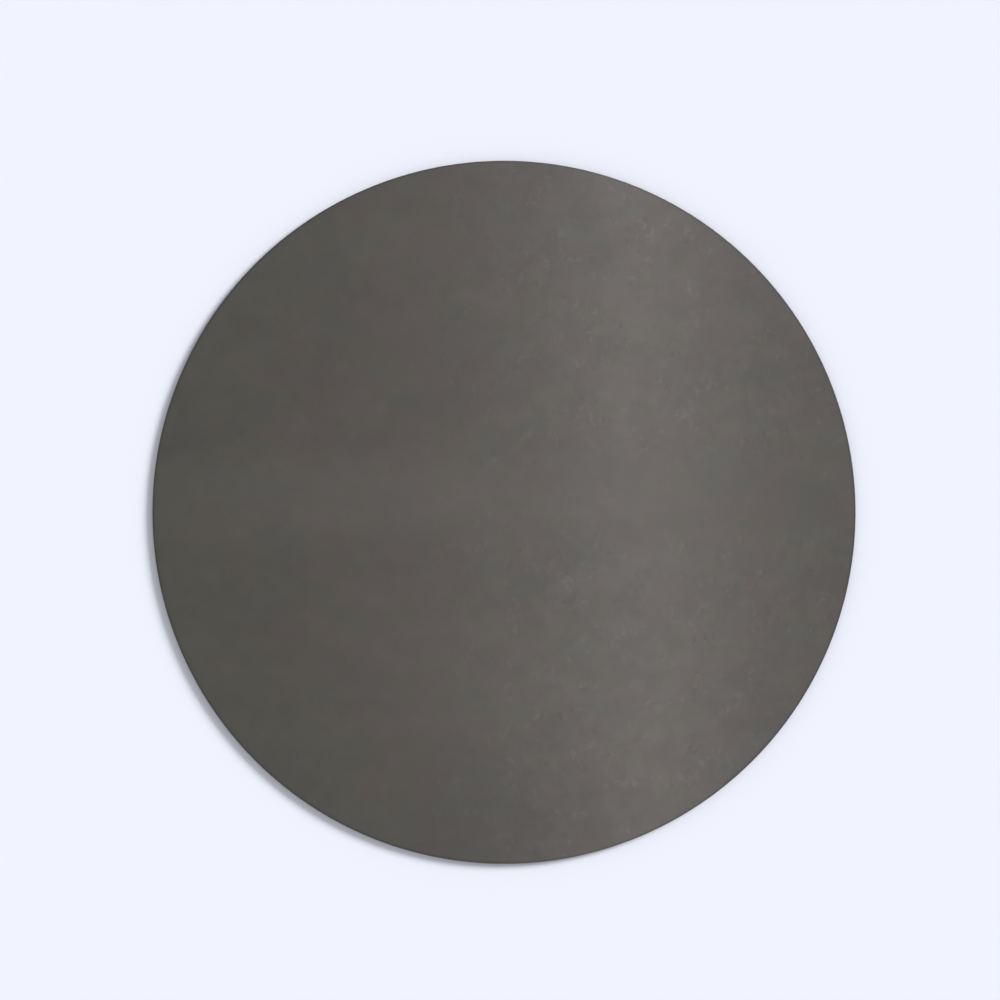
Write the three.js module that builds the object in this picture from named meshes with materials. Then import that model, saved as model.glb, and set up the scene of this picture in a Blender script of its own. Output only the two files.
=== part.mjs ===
// A round mouse pad: leatherette bonded onto sponge rubber, cut out in one stroke of a round die.
// Millimetres, +Z up. The origin is the centre of the underside, on which the pad rests.

import * as THREE from "three";

// Driving dimensions
const PAD_DIAMETER = 240; // across the die-cut edge
const BASE_THICKNESS = 1.6; // sponge rubber that keeps the pad from sliding
const ADHESIVE_THICKNESS = 0.1; // hot-melt film between the rubber and the leatherette
const BACKING_THICKNESS = 0.5; // knitted cloth that carries the leatherette's coat
const FACE_THICKNESS = 0.3; // polyurethane coat, the smooth upper side
const FACE_EDGE_RADIUS = 0.2; // upper edge, drawn down by the die as it enters
const BASE_EDGE_RADIUS = 0.25; // lower edge of the rubber, eased so that it can't lift

// Facets of the round shapes
const SIDES_AROUND = 144;
const STEPS_IN_EDGE = 4;

// Colours and finishes
const RUBBER_FINISH = { color: 0x262625, roughness: 0.9, metalness: 0 };
const ADHESIVE_FINISH = { color: 0x7c766a, roughness: 0.45, metalness: 0 };
const BACKING_FINISH = { color: 0x595754, roughness: 0.95, metalness: 0 };
const FACE_FINISH = { color: 0x605d5a, roughness: 0.5, metalness: 0 };

// Heights of the layers' upper faces, shared by the layers that meet there, and the pad's radius
const BASE_TOP = BASE_THICKNESS;
const ADHESIVE_TOP = BASE_TOP + ADHESIVE_THICKNESS;
const BACKING_TOP = ADHESIVE_TOP + BACKING_THICKNESS;
const FACE_TOP = BACKING_TOP + FACE_THICKNESS;
const PAD_RADIUS = PAD_DIAMETER / 2;

// A quarter round at the pad's edge, about a centre at the given height, without its first point
function quarterRound(centreHeight, radius, startAngle) {
  const points = [];
  for (let step = 1; step <= STEPS_IN_EDGE; step++) {
    const angle = startAngle + (Math.PI / 2) * (step / STEPS_IN_EDGE);
    const across = PAD_RADIUS - radius + radius * Math.cos(angle);
    points.push(new THREE.Vector2(across, centreHeight + radius * Math.sin(angle)));
  }
  return points;
}

// A solid disc as wide as the pad, turned from a profile that runs out from the axis and back to it
function disc(low, high, lowerRadius, upperRadius) {
  const profile = [new THREE.Vector2(0, low), new THREE.Vector2(PAD_RADIUS - lowerRadius, low)];
  if (lowerRadius > 0) {
    profile.push(...quarterRound(low + lowerRadius, lowerRadius, -Math.PI / 2));
  }
  profile.push(new THREE.Vector2(PAD_RADIUS, high - upperRadius));
  if (upperRadius > 0) {
    profile.push(...quarterRound(high - upperRadius, upperRadius, 0));
  }
  profile.push(new THREE.Vector2(0, high));
  return new THREE.LatheGeometry(profile, SIDES_AROUND).rotateX(Math.PI / 2);
}

// One layer of the laminate, with the colour and finish of what it is made of
function layer(name, geometry, finish) {
  const mesh = new THREE.Mesh(geometry, new THREE.MeshStandardMaterial(finish));
  mesh.name = name;
  return mesh;
}

function rubberBase() {
  const edgeRadius = Math.min(BASE_EDGE_RADIUS, BASE_THICKNESS);
  return layer("rubber_base", disc(0, BASE_TOP, edgeRadius, 0), RUBBER_FINISH);
}

function adhesiveFilm() {
  return layer("adhesive_film", disc(BASE_TOP, ADHESIVE_TOP, 0, 0), ADHESIVE_FINISH);
}

function backingCloth() {
  return layer("backing_cloth", disc(ADHESIVE_TOP, BACKING_TOP, 0, 0), BACKING_FINISH);
}

function leatheretteFace() {
  const edgeRadius = Math.min(FACE_EDGE_RADIUS, FACE_THICKNESS);
  return layer("leatherette_face", disc(BACKING_TOP, FACE_TOP, 0, edgeRadius), FACE_FINISH);
}

const leatherette = new THREE.Group();
leatherette.add(backingCloth(), leatheretteFace());

const mousePad = new THREE.Group();
mousePad.add(rubberBase(), adhesiveFilm(), leatherette);

export default mousePad;
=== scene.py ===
"""A round mouse pad of leatherette on sponge rubber, lying on a pale floor and seen from straight above."""

import math
from typing import NamedTuple

import bpy
import numpy as np
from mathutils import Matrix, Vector, noise
from mathutils.geometry import delaunay_2d_cdt


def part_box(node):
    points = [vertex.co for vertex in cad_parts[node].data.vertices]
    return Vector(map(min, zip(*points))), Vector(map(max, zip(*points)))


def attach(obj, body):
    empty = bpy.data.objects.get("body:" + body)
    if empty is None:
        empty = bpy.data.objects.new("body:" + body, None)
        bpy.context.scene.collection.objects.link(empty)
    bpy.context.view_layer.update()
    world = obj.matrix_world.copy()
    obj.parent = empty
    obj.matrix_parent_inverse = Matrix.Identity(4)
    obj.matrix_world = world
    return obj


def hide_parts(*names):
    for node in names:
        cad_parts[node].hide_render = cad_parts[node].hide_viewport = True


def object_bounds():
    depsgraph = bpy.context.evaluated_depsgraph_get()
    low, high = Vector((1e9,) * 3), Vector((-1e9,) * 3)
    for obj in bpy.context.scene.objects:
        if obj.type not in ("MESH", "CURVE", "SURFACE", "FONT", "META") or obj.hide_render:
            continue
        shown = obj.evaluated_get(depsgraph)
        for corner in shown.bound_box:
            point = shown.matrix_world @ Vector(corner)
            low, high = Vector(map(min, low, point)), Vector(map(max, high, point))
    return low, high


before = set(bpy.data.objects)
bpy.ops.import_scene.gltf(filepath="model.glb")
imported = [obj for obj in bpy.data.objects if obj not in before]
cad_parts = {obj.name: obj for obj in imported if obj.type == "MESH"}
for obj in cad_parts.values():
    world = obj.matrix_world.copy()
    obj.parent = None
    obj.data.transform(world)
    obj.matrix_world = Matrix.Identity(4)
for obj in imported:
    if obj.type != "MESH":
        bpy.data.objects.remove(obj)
cad_low, cad_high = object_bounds()


class Cloud(NamedTuple):
    """Cloudy noise on a surface: the length of its features, its character, and the levels that are used."""

    length: float
    seed: int = 0
    detail: float = 3
    distortion: float = 0
    levels: tuple = (0.3, 0.7)
    scale: tuple = (1, 1, 1)


class Oval(NamedTuple):
    """An oval patch of the face: its middle, and how far it reaches along X and Y."""

    middle: tuple
    reach: tuple


MM = 0.001
QUARTER_TURN = math.pi / 2

# Sizes in metres, taken from the frame
PAD_RADIUS = (cad_high.x - cad_low.x) / 2
BASE_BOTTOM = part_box("rubber_base")[0].z
BASE_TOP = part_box("rubber_base")[1].z
FILM_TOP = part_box("adhesive_film")[1].z
CLOTH_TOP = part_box("backing_cloth")[1].z
FACE_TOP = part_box("leatherette_face")[1].z

# Where the pad lies in the photograph's frame of 1000 by 1000 pixels
PHOTO_SIDE_PX = 1000
PAD_CENTRE_PX = (504.0, 512.3)
PAD_RADIUS_PX = 351.7

# The leatherette's face: a grid of squares, swells with their length and depth, and the drawn-down edge
FACE_SQUARES = 260
FACE_SWELLS = ((26 * MM, 0.080 * MM), (10 * MM, 0.035 * MM), (4 * MM, 0.020 * MM))
SWELL_SEED_STEP = 7.3
SWELL_STRETCH = 1.6
SWELL_FADE = 5 * MM
FACE_DRAW_WIDTH = 0.9 * MM
FACE_DRAW_DEPTH = 0.03 * MM
FACE_DRAW_POWER = 3
FACE_EDGE_RADIUS = 0.17 * MM
FACE_EDGE_STEPS = 6

# The backing cloth's cut edge, two staggered rows of knitted loops
CLOTH_ROWS = 2
CLOTH_RINGS_PER_ROW = 4
CLOTH_POINTS_PER_LOOP = 6
CLOTH_SETBACK = 0.02 * MM
LOOP_PITCH = 0.8 * MM
LOOP_DEPTH = 0.16 * MM
LOOP_STAGGER = 0.5
LOOP_MEAN = 0.75
LOOP_SPREAD = 0.25
LOOP_SPREAD_LENGTH = 1.7 * LOOP_PITCH
LOOP_SEED = 11.0
LOOP_SEED_STEP = 5.0

# The adhesive's thin line
FILM_SIDES = 720
FILM_SETBACK = 0.06 * MM
FILM_BULGE = (FILM_TOP - BASE_TOP) / 4
FILM_WAVER = 0.03 * MM
FILM_WAVER_LENGTH = 4 * MM
FILM_SEED = 23.0

# The sponge rubber's cut edge
BASE_SIDES = 1200
BASE_RINGS = 9
BASE_EDGE_RADIUS = 0.25 * MM
BASE_EDGE_STEPS = 3
BASE_HOLLOW = 0.05 * MM
BASE_ROUGH = 0.02 * MM
BASE_ROUGH_LENGTH = 0.9 * MM
BASE_SEED = 31.0

# The sponge rubber's grip, a slanted grid of square pits with flat rubber filled in between them
PIT_SIDES = 4
PIT_PITCH = 2.6 * MM
PIT_WIDTH = 1.7 * MM
PIT_FLOOR_WIDTH = 1.25 * MM
PIT_DEPTH = 0.22 * MM
PIT_MARGIN = 1.2 * MM
FILL_WHOLE_HULL = 0
FILL_TOLERANCE = 1e-6

# How a piece is laid flat on its square picture, and the angle from which an edge stays sharp
MAP_MIDDLE = 0.5
MAP_RADIUS = 0.495
MAP_CORNER = 0.06
MAP_CORNER_RADIUS = 0.05
FACE_WALL_SHARE = 0.004
THIN_WALL_SHARE = 0.5
BASE_WALL_SHARE = 0.015
LEAST_RADIUS = 1e-9
SHARP_ANGLE = math.radians(40)

# The leatherette's pressed grain, drawn out a little along Y
GRAIN_STRETCH = 1.4
UPRIGHT = (1, 1 / GRAIN_STRETCH, 1)
GRAIN_SEED = 4
GRAIN_PITCH = 0.85 * MM
GRAIN_VALLEY = 0.3
GRAIN_BEND = 0.7 * MM
GRAIN_BEND_LENGTH = 3 * GRAIN_PITCH
GRAIN_BEND_DETAIL = 2
GRAIN_DEPTH = 0.011 * MM
GRAIN_STRENGTH = 0.6

# The leatherette's tints, tones, gloss and mottling, and its marks, partly wear and partly painted glints and
# specks of shade, and the patches they gather in
WIDE = (1 / SWELL_STRETCH, 1, 1)
TINT = Cloud(9 * MM, seed=5, detail=2, distortion=0.4, levels=(0.38, 0.62), scale=WIDE)
TONE = Cloud(20 * MM, seed=6, scale=WIDE)
GLOSS = Cloud(5 * MM, seed=7, detail=5)
MOTTLE = Cloud(8 * MM, seed=10, detail=4, distortion=0.5, levels=(0.4, 0.65))
RUBBED_AND_GLINT = Cloud(2.1 * MM, seed=1, detail=2, distortion=0.5, levels=(0.52, 0.66), scale=UPRIGHT)
RUBBED_AND_GLINT_PATCHES = Cloud(9 * MM, seed=2, detail=2, levels=(0.50, 0.63))
DULL = RUBBED_AND_GLINT._replace(seed=8, levels=(0.57, 0.67))
DULL_PATCHES = RUBBED_AND_GLINT_PATCHES._replace(seed=9)

# Where the leatherette is greenish or reddish, worn and with painted sheen on its right side or smooth, paler
# with a painted sheen or deeper with a painted shade
GREENISH_SIDE = (-60 * MM, -20 * MM)
GREENISH_BAND = (PAD_RADIUS - 45 * MM, PAD_RADIUS - 5 * MM)
GREENISH_SHIFT = 0.17
REDDISH_OVAL = Oval((-42 * MM, 5 * MM), (62 * MM, 220 * MM))
REDDISH_SHIFT = 0.09
# Wear marks and painted sheen gather on the right side, where the band of sheen falls
WORN_AND_SHEEN_SIDE = (-35 * MM, 20 * MM)
LEAST_WEAR_AND_SHEEN = 0.3
VALLEY_MARKS = 0.4
PEBBLE_TOP = 0.5
OVAL_CORE = 0.2
SMOOTH_OVAL = Oval((65 * MM, 5 * MM), (90 * MM, 26 * MM))
# A painted sheen in a paler streak and oval, and a painted shade in a deeper oval towards the bottom
PAINTED_SHEEN_STREAK = Oval((-46 * MM, 5 * MM), (114 * MM, 24 * MM))
PAINTED_SHEEN_OVAL = Oval((-20 * MM, -50 * MM), (70 * MM, 50 * MM))
PAINTED_SHADE_OVAL = Oval((12 * MM, -108 * MM), (60 * MM, 26 * MM))
# The cut edge's darker band: partly a pressed edge, partly painted shade where the edge rolls away
CUT_AND_SHADE_BAND = (PAD_RADIUS - 0.95 * MM, PAD_RADIUS - 0.45 * MM)

# The leatherette's colours, and how much of them is laid over its two tints, some of it as painted sheen and
# painted shade
LEATHER_GREENISH = (0.0560, 0.0551, 0.0433, 1)
LEATHER_REDDISH = (0.0636, 0.0522, 0.0440, 1)
LEATHER_DEEP = (0.0380, 0.0350, 0.0290, 1)
LEATHER_PALE = (0.130, 0.124, 0.110, 1)
LEATHER_CUT_AND_SHADE = (0.025, 0.025, 0.024, 1)
TONE_DEEP = 0.3
SHEEN_STREAK_SHARE = 0.15
SHEEN_OVAL_SHARE = 0.06
SHADE_OVAL_SHARE = 0.4
MOTTLE_PALE = 0.12
RUBBED_AND_GLINT_PALE = 0.22
DULL_DEEP = 0.5
CUT_AND_SHADE_SHARE = 0.6

# The leatherette's satin finish
LEATHER_ROUGHNESS = (0.46, 0.54)
RUBBED_GLOSS = 0.06
DULL_MATT = 0.05
LEATHER_SPECULAR = 0.5
LEATHER_COAT = 0.2
LEATHER_COAT_ROUGHNESS = 0.28

# The knitted cloth's finish
CLOTH_DARK = (0.09, 0.085, 0.08, 1)
CLOTH_LIGHT = (0.2, 0.19, 0.18, 1)
# The hollows between the loops are darkened with painted shade
CLOTH_HOLLOW_SHADE = (0.045, 0.042, 0.04, 1)
HOLLOW_SHADE_BAND = (PAD_RADIUS - CLOTH_SETBACK - LOOP_DEPTH, PAD_RADIUS - 2 * CLOTH_SETBACK)
FIBRES = Cloud(0.12 * MM)
FIBRE_DEPTH = 0.05 * MM
FIBRE_STRENGTH = 0.6
CLOTH_ROUGHNESS = 0.95
CLOTH_SHEEN = 0.3

# The hot-melt film's finish
FILM_DARK = (0.16, 0.145, 0.11, 1)
FILM_LIGHT = (0.25, 0.225, 0.175, 1)
FILM_CLOUDS = Cloud(2 * MM)
FILM_ROUGHNESS = (0.35, 0.55)

# The sponge rubber's finish
RUBBER_BLACK = (0.015, 0.015, 0.0148, 1)
RUBBER_DUSTY = (0.026, 0.0258, 0.025, 1)
# The pores are darkened with painted shade
RUBBER_PORE_SHADE = (0.008, 0.008, 0.008, 1)
DUST = Cloud(9 * MM, detail=4)
PORE_PITCH = 0.35 * MM
PORE_LEVELS = (0.12, 0.3)
PORE_DEPTH = 0.04 * MM
PORE_STRENGTH = 0.5
RUBBER_ROUGHNESS = (0.78, 0.9)
RUBBER_SPECULAR = 0.4

# How far apart in metres two seeds lie in the noise, and the colour sockets of a mix node
SEED_STEP = (0.37, 0.53, 0.71)
MIX_SHARE, MIX_FIRST, MIX_SECOND, MIX_RESULT = 0, 6, 7, 2

# The floor, and the pale wall and dim ceiling that the camera and the gloss see
FLOOR_COLOUR = (0.838, 0.854, 0.952, 1)
FLOOR_SIZE = 40.0
BACKGROUND_COLOUR = (0.88, 0.896, 1.0, 1)
WALL_LEVEL = 1.0
WALL_TOP = 0.5
CEILING_EDGE = 0.9
CEILING_LEVEL = 0.25

# The lights: an even fill, a broad key, and a strip, placed in metres, that makes the band of sheen
FILL_COLOUR = (1, 1, 1, 1)
FILL_LEVEL = 0.55
KEY_LEVEL = 0.5
KEY_AZIMUTH = math.radians(31.5)
KEY_ELEVATION = math.radians(33.5)
KEY_WIDTH = math.radians(25)
STRIP_HEIGHT = 0.25
STRIP_PLACE = (0.0585, 0.17)
STRIP_SIZE = (0.03, 0.8)
STRIP_POWER = 0.715
STRIP_COLOUR = (1.0, 0.91, 0.9)
STRIP_TURN = math.radians(1)

# The camera's lens
LENS_MM = 100
SENSOR_MM = 36


class Draft:
    """The points and faces of one closed mesh while it is being drawn."""

    def __init__(self):
        self.points = []
        self.faces = []

    def add(self, points):
        """Adds points and returns their numbers."""
        first = len(self.points)
        self.points.extend(tuple(point) for point in points)
        return list(range(first, len(self.points)))

    def bridge(self, lower, upper):
        """Joins two rings that run the same way round, the first one lower or further in on an underside."""
        count = len(lower)
        for i in range(count):
            j = (i + 1) % count
            self.faces.append((lower[i], lower[j], upper[j], upper[i]))

    def stack(self, rings):
        """Adds rings, from the lowest to the highest, joins them, and returns the lowest and the highest."""
        numbers = [self.add(ring) for ring in rings]
        for lower, upper in zip(numbers, numbers[1:]):
            self.bridge(lower, upper)
        return numbers[0], numbers[-1]

    def close(self, ring, height, facing_up):
        """Closes a ring with a fan about the pad's axis."""
        centre = self.add([(0, 0, height)])[0]
        count = len(ring)
        for i in range(count):
            edge = (ring[i], ring[(i + 1) % count])
            self.faces.append((centre, *edge) if facing_up else (centre, *reversed(edge)))

    def piece(self, name, wall_start, wall_end, wall_share):
        """Makes the object, smooth except at sharp corners. Its wall runs from one height to another."""
        mesh = bpy.data.meshes.new(name)
        mesh.from_pydata(self.points, [], self.faces)
        mesh.validate()
        mesh.shade_smooth()
        mesh.set_sharp_from_angle(angle=SHARP_ANGLE)
        lay_flat(mesh, wall_start, wall_end, wall_share)
        made = bpy.data.objects.new(name, mesh)
        bpy.context.scene.collection.objects.link(made)
        return made


def lay_flat(mesh, wall_start, wall_end, wall_share):
    """Maps a disc onto a picture: one side in the middle, its wall round that, the other side in a corner."""
    corners = np.zeros(len(mesh.loops), int)
    mesh.loops.foreach_get("vertex_index", corners)
    points = np.array([vertex.co for vertex in mesh.vertices])[corners]
    along = np.clip((points[:, 2] - wall_start) / (wall_end - wall_start), 0, 1)
    out = points[:, :2] / PAD_RADIUS
    direction = out / np.maximum(np.linalg.norm(out, axis=1), LEAST_RADIUS)[:, None]
    spots = MAP_MIDDLE + MAP_RADIUS * ((1 - wall_share) * out + wall_share * along[:, None] * direction)
    for face in mesh.polygons:
        loops = list(face.loop_indices)
        if along[loops].min() == 1:
            spots[loops] = MAP_CORNER + MAP_CORNER_RADIUS * out[loops]
    mesh.uv_layers.new(name="OFBake").data.foreach_set("uv", spots.ravel())


def circle(sides, radius, height):
    """A ring of points; radius and height are numbers, or lists with one number for each point."""
    angles = 2 * math.pi * np.arange(sides) / sides
    across = np.broadcast_to(radius, sides)
    up = np.broadcast_to(height, sides)
    return np.column_stack([across * np.cos(angles), across * np.sin(angles), up])


def round_noise(sides, length, seed, height=0.0):
    """Smooth noise from -1 to 1 along the pad's edge, with features of about this length."""
    rim = circle(sides, PAD_RADIUS / length, height / length + seed)
    return np.array([noise.noise(Vector(point)) for point in rim])


def face_relief(x, y):
    """How far the face swells above or below its mean plane at a point."""
    height = 0.0
    for seed, (length, depth) in enumerate(FACE_SWELLS):
        place = Vector((x / (length * SWELL_STRETCH), y / length, SWELL_SEED_STEP * seed))
        height += depth * noise.noise(place)
    return height


def disc_grid(squares):
    """Points of a square grid bent into a unit disc, and its rim as rows and columns, round from +X to +Y."""
    steps = np.linspace(-1, 1, squares + 1)
    points = np.zeros((squares + 1, squares + 1, 2))
    for row, b in enumerate(steps):
        for column, a in enumerate(steps):
            if abs(a) > abs(b):
                radius, angle = a, QUARTER_TURN / 2 * b / a
            elif b:
                radius, angle = b, QUARTER_TURN - QUARTER_TURN / 2 * a / b
            else:
                radius, angle = 0.0, 0.0
            points[row, column] = radius * math.cos(angle), radius * math.sin(angle)
    half, last = squares // 2, squares
    right_up = [(row, last) for row in range(half, last)]
    top = [(last, column) for column in range(last, 0, -1)]
    left = [(row, 0) for row in range(last, 0, -1)]
    bottom = [(0, column) for column in range(last)]
    right_down = [(row, last) for row in range(half)]
    return points, right_up + top + left + bottom + right_down


def smooth_step(share):
    """A share from 0 to 1, eased at both ends."""
    return share * share * (3 - 2 * share)


def face_heights(places, edge):
    """The face's heights at places in metres, given their distances from the flat part's edge."""
    relief = np.apply_along_axis(lambda place: face_relief(*place), -1, places)
    fade = smooth_step(np.clip(edge / SWELL_FADE, 0, 1))
    drawn = FACE_DRAW_DEPTH * np.clip(1 - edge / FACE_DRAW_WIDTH, 0, 1) ** FACE_DRAW_POWER
    return FACE_TOP - relief.max() + relief * fade - drawn


def leatherette_face():
    """The polyurethane coat: a sheet with a gentle relief and a rolled, die-cut edge."""
    draft = Draft()
    grid, rim = disc_grid(FACE_SQUARES)
    flat_radius = PAD_RADIUS - FACE_EDGE_RADIUS
    places = grid * flat_radius
    heights = face_heights(places, flat_radius - np.linalg.norm(places, axis=2))
    count = FACE_SQUARES + 1
    numbers = np.array(draft.add(np.dstack([places, heights]).reshape(-1, 3))).reshape(count, count)
    for row in range(FACE_SQUARES):
        for column in range(FACE_SQUARES):
            near, far = numbers[row, column:column + 2], numbers[row + 1, column:column + 2]
            draft.faces.append((int(near[0]), int(near[1]), int(far[1]), int(far[0])))
    ring = [int(numbers[place]) for place in rim]
    rim_height = heights[rim[0]]
    sides = len(ring)
    for step in range(1, FACE_EDGE_STEPS + 1):
        turn = QUARTER_TURN * step / FACE_EDGE_STEPS
        radius = flat_radius + FACE_EDGE_RADIUS * math.sin(turn)
        height = rim_height - FACE_EDGE_RADIUS * (1 - math.cos(turn))
        lower = draft.add(circle(sides, radius, height))
        draft.bridge(lower, ring)
        ring = lower
    lower = draft.add(circle(sides, PAD_RADIUS, CLOTH_TOP))
    draft.bridge(lower, ring)
    draft.close(lower, CLOTH_TOP, facing_up=False)
    return draft.piece("face_coat", rim_height - FACE_EDGE_RADIUS, CLOTH_TOP, FACE_WALL_SHARE)


def backing_cloth():
    """The knitted cloth. Its cut edge shows two staggered rows of loops, none quite like the next."""
    draft = Draft()
    loops = round(2 * math.pi * PAD_RADIUS / LOOP_PITCH)
    sides = loops * CLOTH_POINTS_PER_LOOP
    along = np.arange(sides) / CLOTH_POINTS_PER_LOOP
    steps = CLOTH_ROWS * CLOTH_RINGS_PER_ROW
    rings = []
    for step in range(steps + 1):
        row, part = divmod(step, CLOTH_RINGS_PER_ROW)
        spread = round_noise(sides, LOOP_SPREAD_LENGTH, LOOP_SEED + LOOP_SEED_STEP * row)
        unlike = LOOP_MEAN + LOOP_SPREAD * spread
        round_along = np.abs(np.sin(math.pi * (along + LOOP_STAGGER * row)))
        bulge = unlike * np.sqrt(round_along) * math.sin(math.pi * part / CLOTH_RINGS_PER_ROW)
        radius = PAD_RADIUS - CLOTH_SETBACK - LOOP_DEPTH * (1 - bulge)
        rings.append(circle(sides, radius, FILM_TOP + (CLOTH_TOP - FILM_TOP) * step / steps))
    lowest, highest = draft.stack(rings)
    draft.close(lowest, FILM_TOP, facing_up=False)
    draft.close(highest, CLOTH_TOP, facing_up=True)
    return draft.piece("backing_knit", FILM_TOP, CLOTH_TOP, THIN_WALL_SHARE)


def adhesive_film():
    """The hot-melt film, whose cut edge bulges and wavers a little."""
    draft = Draft()
    waver = FILM_WAVER * round_noise(FILM_SIDES, FILM_WAVER_LENGTH, FILM_SEED)
    radius = PAD_RADIUS - FILM_SETBACK + waver
    middle = (BASE_TOP + FILM_TOP) / 2
    rings = [circle(FILM_SIDES, radius, BASE_TOP)]
    rings.append(circle(FILM_SIDES, radius + FILM_BULGE, middle))
    rings.append(circle(FILM_SIDES, radius, FILM_TOP))
    lowest, highest = draft.stack(rings)
    draft.close(lowest, BASE_TOP, facing_up=False)
    draft.close(highest, FILM_TOP, facing_up=True)
    return draft.piece("bond_film", BASE_TOP, FILM_TOP, THIN_WALL_SHARE)


def pit_ring(x, y, width, height):
    """The corners of a pit about its middle, a square of this width standing on its corner."""
    reach = width / math.sqrt(2)
    corners = ((reach, 0), (0, reach), (-reach, 0), (0, -reach))
    return [(x + across, y + along, height) for across, along in corners]


def pit_centres(limit):
    """The middles of the pits on a slanted grid, as far as a whole pit fits inside the limit."""
    step = PIT_PITCH / math.sqrt(2)
    reach = math.ceil(limit / step)
    inside = limit - PIT_WIDTH / math.sqrt(2)
    centres = []
    for row in range(-reach, reach + 1):
        for column in range(-reach, reach + 1):
            x, y = column * step, row * step
            if (row + column) % 2 == 0 and math.hypot(x, y) < inside:
                centres.append((x, y))
    return centres


def grip_underside(draft, ring):
    """Fills the underside's outer ring with the pits and the flat rubber between them."""
    mouths = []
    for x, y in pit_centres(PAD_RADIUS - BASE_EDGE_RADIUS - PIT_MARGIN):
        mouth = draft.add(pit_ring(x, y, PIT_WIDTH, BASE_BOTTOM))
        bottom = draft.add(pit_ring(x, y, PIT_FLOOR_WIDTH, BASE_BOTTOM + PIT_DEPTH))
        draft.bridge(bottom, mouth)
        draft.faces.append(tuple(reversed(bottom)))
        mouths.append(mouth)
    used = ring + [number for mouth in mouths for number in mouth]
    flat = [Vector(draft.points[number][:2]) / MM for number in used]
    edges = [(i, (i + 1) % len(ring)) for i in range(len(ring))]
    starts = range(len(ring), len(used), PIT_SIDES)
    squares = [tuple(range(start, start + PIT_SIDES)) for start in starts]
    filled = delaunay_2d_cdt(flat, edges, squares, FILL_WHOLE_HULL, FILL_TOLERANCE)
    _, _, triangles, sources, _, pits = filled
    for triangle, pit in zip(triangles, pits):
        if not pit:
            draft.faces.append(tuple(used[sources[corner][0]] for corner in reversed(triangle)))


def rubber_base():
    """The sponge rubber: a die-cut edge, slightly hollow and rough, and a grip of small pits underneath."""
    draft = Draft()
    rings = []
    for step in range(BASE_EDGE_STEPS + 1):
        turn = QUARTER_TURN * step / BASE_EDGE_STEPS
        radius = PAD_RADIUS - BASE_EDGE_RADIUS * (1 - math.sin(turn))
        rings.append(circle(BASE_SIDES, radius, BASE_BOTTOM + BASE_EDGE_RADIUS * (1 - math.cos(turn))))
    wall_bottom = BASE_BOTTOM + BASE_EDGE_RADIUS
    for step in range(1, BASE_RINGS + 1):
        share = step / BASE_RINGS
        height = wall_bottom + (BASE_TOP - wall_bottom) * share
        rough = BASE_ROUGH * round_noise(BASE_SIDES, BASE_ROUGH_LENGTH, BASE_SEED, height)
        radius = PAD_RADIUS - BASE_HOLLOW * math.sin(math.pi * share) - BASE_ROUGH + rough
        rings.append(circle(BASE_SIDES, radius, height))
    lowest, highest = draft.stack(rings)
    draft.close(highest, BASE_TOP, facing_up=True)
    grip_underside(draft, lowest)
    return draft.piece("sponge_base", wall_bottom, BASE_TOP, BASE_WALL_SHARE)


def add_node(tree, kind, inputs=None, **settings):
    """Adds a shader node, with its options set and its inputs set or linked."""
    made = tree.nodes.new(kind)
    for name, value in settings.items():
        setattr(made, name, value)
    for name, value in (inputs or {}).items():
        socket = made.inputs[name]
        if isinstance(value, bpy.types.NodeSocket):
            tree.links.new(value, socket)
        else:
            socket.default_value = value
    return made


def new_material(name):
    """An empty node material, and its tree."""
    made = bpy.data.materials.new(name)
    made.use_nodes = True
    made.node_tree.nodes.clear()
    return made, made.node_tree


def end_material(tree, kind, inputs):
    """Gives a material its one shader, linked to its output."""
    shader = add_node(tree, kind, inputs)
    add_node(tree, "ShaderNodeOutputMaterial", {"Surface": shader.outputs["BSDF"]})


def place_on(tree, seed=0, scale=(1, 1, 1)):
    """The place on the object in metres, scaled along its axes and moved away by the seed."""
    place = add_node(tree, "ShaderNodeTexCoord").outputs["Object"]
    location = tuple(step * seed for step in SEED_STEP)
    inputs = {"Vector": place, "Scale": scale, "Location": location}
    return add_node(tree, "ShaderNodeMapping", inputs).outputs["Vector"]


def remap(tree, value, source, target, smooth=False):
    """Maps one range of a value onto another, and holds it there."""
    low, high = source
    to_low, to_high = target
    inputs = {"Value": value, "From Min": low, "From Max": high, "To Min": to_low, "To Max": to_high}
    way = "SMOOTHSTEP" if smooth else "LINEAR"
    return add_node(tree, "ShaderNodeMapRange", inputs, interpolation_type=way).outputs["Result"]


def raw_cloud(tree, cloud):
    """A cloud's noise, from 0 to 1."""
    inputs = {
        "Vector": place_on(tree, cloud.seed, cloud.scale),
        "Scale": 1 / cloud.length,
        "Detail": cloud.detail,
        "Distortion": cloud.distortion,
    }
    return add_node(tree, "ShaderNodeTexNoise", inputs).outputs["Fac"]


def cloudy(tree, cloud, target, smooth=False):
    """A cloud's noise, with its levels mapped onto a range."""
    return remap(tree, raw_cloud(tree, cloud), cloud.levels, target, smooth)


def math_node(tree, operation, first, second):
    """The result of an operation on two values."""
    return add_node(tree, "ShaderNodeMath", {0: first, 1: second}, operation=operation).outputs[0]


def times(tree, first, second):
    """The product of two values."""
    return math_node(tree, "MULTIPLY", first, second)


def mix_colours(tree, share, first, second):
    """A colour between two others."""
    inputs = {MIX_SHARE: share, MIX_FIRST: first, MIX_SECOND: second}
    return add_node(tree, "ShaderNodeMix", inputs, data_type="RGBA").outputs[MIX_RESULT]


def bumpy(tree, height, depth, strength):
    """A normal for a surface that rises by a depth where its height goes from 0 to 1."""
    inputs = {"Strength": strength, "Distance": depth, "Height": height}
    return add_node(tree, "ShaderNodeBump", inputs).outputs["Normal"]


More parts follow.
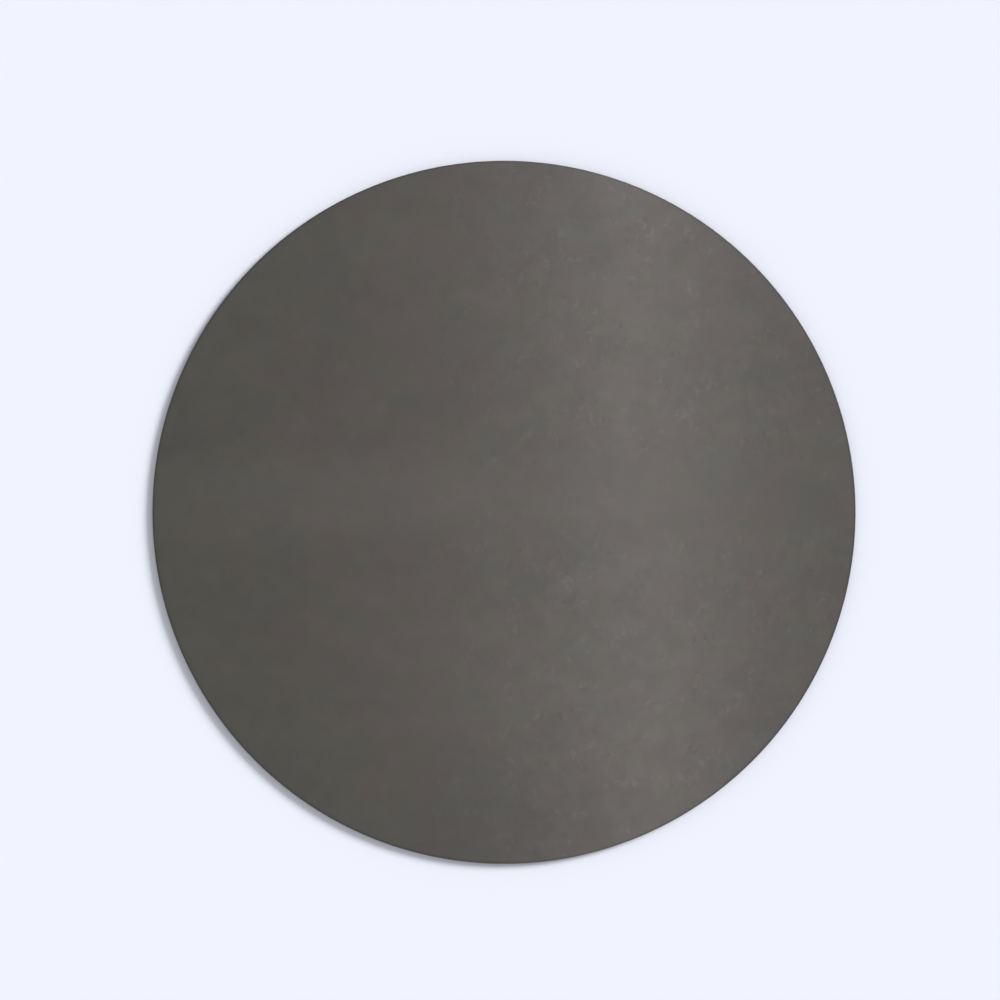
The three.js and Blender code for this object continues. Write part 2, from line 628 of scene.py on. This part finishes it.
def radial_share(tree, band):
    """From 0 inside a band's first radius to 1 outside its second, round the pad's axis."""
    place = place_on(tree, scale=(1, 1, 0))
    radius = add_node(tree, "ShaderNodeVectorMath", {0: place}, operation="LENGTH").outputs["Value"]
    return remap(tree, radius, band, (0, 1))


def soft_oval(tree, oval):
    """An oval patch on the face: 1 in its core, 0 from its reach outwards."""
    (x, y), (reach_x, reach_y) = oval
    scale = (1 / reach_x, 1 / reach_y, 0)
    location = (-x / reach_x, -y / reach_y, 0)
    place = add_node(tree, "ShaderNodeTexCoord").outputs["Object"]
    inside = add_node(tree, "ShaderNodeMapping", {"Vector": place, "Scale": scale, "Location": location})
    away = add_node(tree, "ShaderNodeVectorMath", {0: inside.outputs["Vector"]}, operation="LENGTH")
    return remap(tree, away.outputs["Value"], (OVAL_CORE, 1), (1, 0), smooth=True)


def bent_place(tree):
    """The place on the leatherette, pushed about so that the grain's cells lose their straight edges."""
    place = place_on(tree, GRAIN_SEED, UPRIGHT)
    inputs = {"Vector": place, "Scale": 1 / GRAIN_BEND_LENGTH, "Detail": GRAIN_BEND_DETAIL}
    bend = add_node(tree, "ShaderNodeTexNoise", inputs).outputs["Color"]
    reach = (GRAIN_BEND, GRAIN_BEND, GRAIN_BEND)
    offset = add_node(tree, "ShaderNodeVectorMath", {0: bend, 1: reach}, operation="MULTIPLY").outputs[0]
    return add_node(tree, "ShaderNodeVectorMath", {0: place, 1: offset}, operation="ADD").outputs[0]


def leather_grain(tree):
    """The pressed grain, from 0 in its fine valleys to 1 on its pebbles."""
    inputs = {"Vector": bent_place(tree), "Scale": 1 / GRAIN_PITCH}
    cells = add_node(tree, "ShaderNodeTexVoronoi", inputs, feature="DISTANCE_TO_EDGE")
    return remap(tree, cells.outputs["Distance"], (0, GRAIN_VALLEY), (0, 1))


def side(tree, band, target):
    """A value that goes softly from one to another across a band along X."""
    across = add_node(tree, "ShaderNodeSeparateXYZ", {"Vector": place_on(tree)}).outputs["X"]
    return remap(tree, across, band, target, smooth=True)


def wear_and_sheen(tree):
    """How much of the wear and painted sheen shows: most of it on the right side, where the band of sheen
    falls, but little in the smooth oval there.
    """
    right = side(tree, WORN_AND_SHEEN_SIDE, (LEAST_WEAR_AND_SHEEN, 1))
    kept = remap(tree, soft_oval(tree, SMOOTH_OVAL), (0, 1), (1, LEAST_WEAR_AND_SHEEN))
    return times(tree, right, kept)


def leather_marks(tree, grain, marks, patches):
    """Short soft marks, partly wear and partly painted glints and shade, mostly upright, in patches, on the
    grain's pebbles: 1 there, 0 elsewhere.
    """
    mark = cloudy(tree, marks, (0, 1), smooth=True)
    patch = cloudy(tree, patches, (0, 1))
    tops = remap(tree, grain, (0, PEBBLE_TOP), (VALLEY_MARKS, 1))
    return times(tree, times(tree, mark, patch), tops)


def leather_tint(tree):
    """From 0, greenish, to 1, reddish, in patches: greenish towards the left rim, reddish further in."""
    inner = times(tree, soft_oval(tree, REDDISH_OVAL), REDDISH_SHIFT)
    left = side(tree, GREENISH_SIDE, (1, 0))
    rim = times(tree, times(tree, left, radial_share(tree, GREENISH_BAND)), GREENISH_SHIFT)
    tint = math_node(tree, "ADD", raw_cloud(tree, TINT), inner)
    tint = math_node(tree, "SUBTRACT", tint, rim)
    return remap(tree, tint, TINT.levels, (0, 1))


def leather_colour(tree, worn_and_sheen, rubbed_and_glint, dull):
    """Warm grey with patches of tint and tone, paler with painted sheen and deeper with painted shade in
    ovals, paler on rubbed marks and darker on dull ones, partly painted glints and shade, and darker at the
    cut edge, partly painted shade.
    """
    colour = mix_colours(tree, leather_tint(tree), LEATHER_GREENISH, LEATHER_REDDISH)
    mottle = cloudy(tree, MOTTLE, (0, MOTTLE_PALE))
    layers = (
        (cloudy(tree, TONE, (0, TONE_DEEP)), LEATHER_DEEP),
        # A painted sheen in a paler streak and oval, and a painted shade in a deeper oval
        (times(tree, soft_oval(tree, PAINTED_SHEEN_STREAK), SHEEN_STREAK_SHARE), LEATHER_PALE),
        (times(tree, soft_oval(tree, PAINTED_SHEEN_OVAL), SHEEN_OVAL_SHARE), LEATHER_PALE),
        (times(tree, soft_oval(tree, PAINTED_SHADE_OVAL), SHADE_OVAL_SHARE), LEATHER_DEEP),
        # Paler mottling and rubbed marks on the worn side, partly painted sheen and glints; darker dull
        # marks, partly painted shade
        (times(tree, mottle, worn_and_sheen), LEATHER_PALE),
        (times(tree, rubbed_and_glint, RUBBED_AND_GLINT_PALE), LEATHER_PALE),
        (times(tree, dull, DULL_DEEP), LEATHER_DEEP),
        # The darker cut edge, partly painted shade
        (times(tree, radial_share(tree, CUT_AND_SHADE_BAND), CUT_AND_SHADE_SHARE), LEATHER_CUT_AND_SHADE),
    )
    for share, laid_over in layers:
        colour = mix_colours(tree, share, colour, laid_over)
    return colour


def leather_roughness(tree, rubbed_and_glint, dull):
    """Satin, clouded, glossier on the rubbed marks and matt on the dull ones."""
    rough = cloudy(tree, GLOSS, LEATHER_ROUGHNESS)
    rough = math_node(tree, "SUBTRACT", rough, times(tree, rubbed_and_glint, RUBBED_GLOSS))
    return math_node(tree, "ADD", rough, times(tree, dull, DULL_MATT))


def leatherette_material():
    """Satin polyurethane leatherette with a fine pressed grain."""
    made, tree = new_material("leatherette")
    grain = leather_grain(tree)
    worn_and_sheen = wear_and_sheen(tree)
    rubbed_and_glint = times(tree, worn_and_sheen, leather_marks(tree, grain, RUBBED_AND_GLINT, RUBBED_AND_GLINT_PATCHES))
    dull = times(tree, worn_and_sheen, leather_marks(tree, grain, DULL, DULL_PATCHES))
    end_material(tree, "ShaderNodeBsdfPrincipled", {
        "Base Color": leather_colour(tree, worn_and_sheen, rubbed_and_glint, dull),
        "Roughness": leather_roughness(tree, rubbed_and_glint, dull),
        "Specular IOR Level": LEATHER_SPECULAR,
        "Coat Weight": LEATHER_COAT,
        "Coat Roughness": LEATHER_COAT_ROUGHNESS,
        "Normal": bumpy(tree, grain, GRAIN_DEPTH, GRAIN_STRENGTH),
    })
    return made


def cloth_material():
    """Grey knitted cloth, matt and fibrous, with painted shade in the hollows between its loops."""
    made, tree = new_material("knitted_cloth")
    fibres = raw_cloud(tree, FIBRES)
    colour = mix_colours(tree, fibres, CLOTH_DARK, CLOTH_LIGHT)
    end_material(tree, "ShaderNodeBsdfPrincipled", {
        # Painted shade in the hollows at the cut edge
        "Base Color": mix_colours(tree, radial_share(tree, HOLLOW_SHADE_BAND), CLOTH_HOLLOW_SHADE, colour),
        "Roughness": CLOTH_ROUGHNESS,
        "Sheen Weight": CLOTH_SHEEN,
        "Normal": bumpy(tree, fibres, FIBRE_DEPTH, FIBRE_STRENGTH),
    })
    return made


def film_material():
    """Hot-melt film, slightly yellow and clouded."""
    made, tree = new_material("hot_melt")
    clouded = raw_cloud(tree, FILM_CLOUDS)
    end_material(tree, "ShaderNodeBsdfPrincipled", {
        "Base Color": mix_colours(tree, clouded, FILM_DARK, FILM_LIGHT),
        "Roughness": remap(tree, clouded, FILM_CLOUDS.levels, FILM_ROUGHNESS),
    })
    return made


def rubber_material():
    """Black sponge rubber, matt, with small open pores darkened by painted shade."""
    made, tree = new_material("sponge_rubber")
    cells = add_node(tree, "ShaderNodeTexVoronoi", {"Vector": place_on(tree), "Scale": 1 / PORE_PITCH})
    pores = remap(tree, cells.outputs["Distance"], PORE_LEVELS, (0, 1))
    dust = raw_cloud(tree, DUST)
    colour = mix_colours(tree, dust, RUBBER_BLACK, RUBBER_DUSTY)
    end_material(tree, "ShaderNodeBsdfPrincipled", {
        # Painted shade in the pores
        "Base Color": mix_colours(tree, pores, RUBBER_PORE_SHADE, colour),
        "Roughness": remap(tree, dust, DUST.levels, RUBBER_ROUGHNESS),
        "Specular IOR Level": RUBBER_SPECULAR,
        "Normal": bumpy(tree, pores, PORE_DEPTH, PORE_STRENGTH),
    })
    return made


def place_piece(piece, node, material):
    """Dresses a piece, and puts it in the place of its CAD node."""
    piece.data.materials.append(material)
    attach(piece, "root")
    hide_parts(node)
    return piece


def floor():
    """A plain pale floor under the pad."""
    half = FLOOR_SIZE / 2
    corners = [(x, y, BASE_BOTTOM) for x, y in ((-half, -half), (half, -half), (half, half), (-half, half))]
    mesh = bpy.data.meshes.new("floor")
    mesh.from_pydata(corners, [], [(0, 1, 2, 3)])
    made = bpy.data.objects.new("floor", mesh)
    bpy.context.scene.collection.objects.link(made)
    material, tree = new_material("floor_paint")
    end_material(tree, "ShaderNodeBsdfDiffuse", {"Color": FLOOR_COLOUR})
    mesh.materials.append(material)


def fill_light():
    """An even light from all round. What the camera and the gloss see is a pale wall under a dim ceiling."""
    world = bpy.data.worlds.new("studio")
    bpy.context.scene.world = world
    world.use_nodes = True
    tree = world.node_tree
    tree.nodes.clear()
    path = add_node(tree, "ShaderNodeLightPath")
    seen = math_node(tree, "MAXIMUM", path.outputs["Is Camera Ray"], path.outputs["Is Glossy Ray"])
    seen = math_node(tree, "MAXIMUM", seen, path.outputs["Is Transmission Ray"])
    direction = add_node(tree, "ShaderNodeTexCoord").outputs["Generated"]
    upward = add_node(tree, "ShaderNodeSeparateXYZ", {"Vector": direction}).outputs["Z"]
    strength = remap(tree, upward, (WALL_TOP, CEILING_EDGE), (WALL_LEVEL, CEILING_LEVEL))
    light = add_node(tree, "ShaderNodeBackground", {"Color": FILL_COLOUR, "Strength": FILL_LEVEL})
    backdrop = add_node(tree, "ShaderNodeBackground", {"Color": BACKGROUND_COLOUR, "Strength": strength})
    mix = add_node(tree, "ShaderNodeMixShader", {0: seen, 1: light.outputs[0], 2: backdrop.outputs[0]})
    add_node(tree, "ShaderNodeOutputWorld", {"Surface": mix.outputs[0]})


def key_light():
    """A broad soft light from the upper right, which throws the pad's thin shadow to the lower left."""
    lamp = bpy.data.lights.new("key", "SUN")
    lamp.angle = KEY_WIDTH
    lamp.energy = KEY_LEVEL * math.pi / math.sin(KEY_ELEVATION)
    made = bpy.data.objects.new("key", lamp)
    level = math.cos(KEY_ELEVATION)
    towards = Vector((level * math.cos(KEY_AZIMUTH), level * math.sin(KEY_AZIMUTH), math.sin(KEY_ELEVATION)))
    made.rotation_euler = towards.to_track_quat("Z", "Y").to_euler()
    bpy.context.scene.collection.objects.link(made)


def sheen_light():
    """A long strip above the right half of the pad, seen only as the band of sheen on its face."""
    lamp = bpy.data.lights.new("sheen", "AREA")
    lamp.shape = "RECTANGLE"
    lamp.size, lamp.size_y = STRIP_SIZE
    lamp.energy = STRIP_POWER
    lamp.color = STRIP_COLOUR
    made = bpy.data.objects.new("sheen", lamp)
    made.location = (*STRIP_PLACE, STRIP_HEIGHT)
    made.rotation_euler = (0, 0, STRIP_TURN)
    made.visible_camera = False
    made.visible_diffuse = False
    bpy.context.scene.collection.objects.link(made)


def photo_camera():
    """A camera straight above, framed so that the pad lies where it does in the photograph."""
    metres_per_px = PAD_RADIUS / PAD_RADIUS_PX
    lens = bpy.data.cameras.new("photo_camera")
    lens.lens = LENS_MM
    lens.sensor_width = SENSOR_MM
    made = bpy.data.objects.new("photo_camera", lens)
    middle = PHOTO_SIDE_PX / 2
    right = (middle - PAD_CENTRE_PX[0]) * metres_per_px
    up = (PAD_CENTRE_PX[1] - middle) * metres_per_px
    distance = PHOTO_SIDE_PX * metres_per_px * LENS_MM / SENSOR_MM
    made.location = (right, up, FACE_TOP + distance)
    bpy.context.scene.collection.objects.link(made)
    bpy.context.scene.camera = made


# The pad's pieces
face = place_piece(leatherette_face(), "leatherette_face", leatherette_material())
cloth = place_piece(backing_cloth(), "backing_cloth", cloth_material())
place_piece(adhesive_film(), "adhesive_film", film_material())
base = place_piece(rubber_base(), "rubber_base", rubber_material())

# The studio
floor()
fill_light()
key_light()
sheen_light()
photo_camera()
bpy.context.scene.view_settings.view_transform = "Standard"
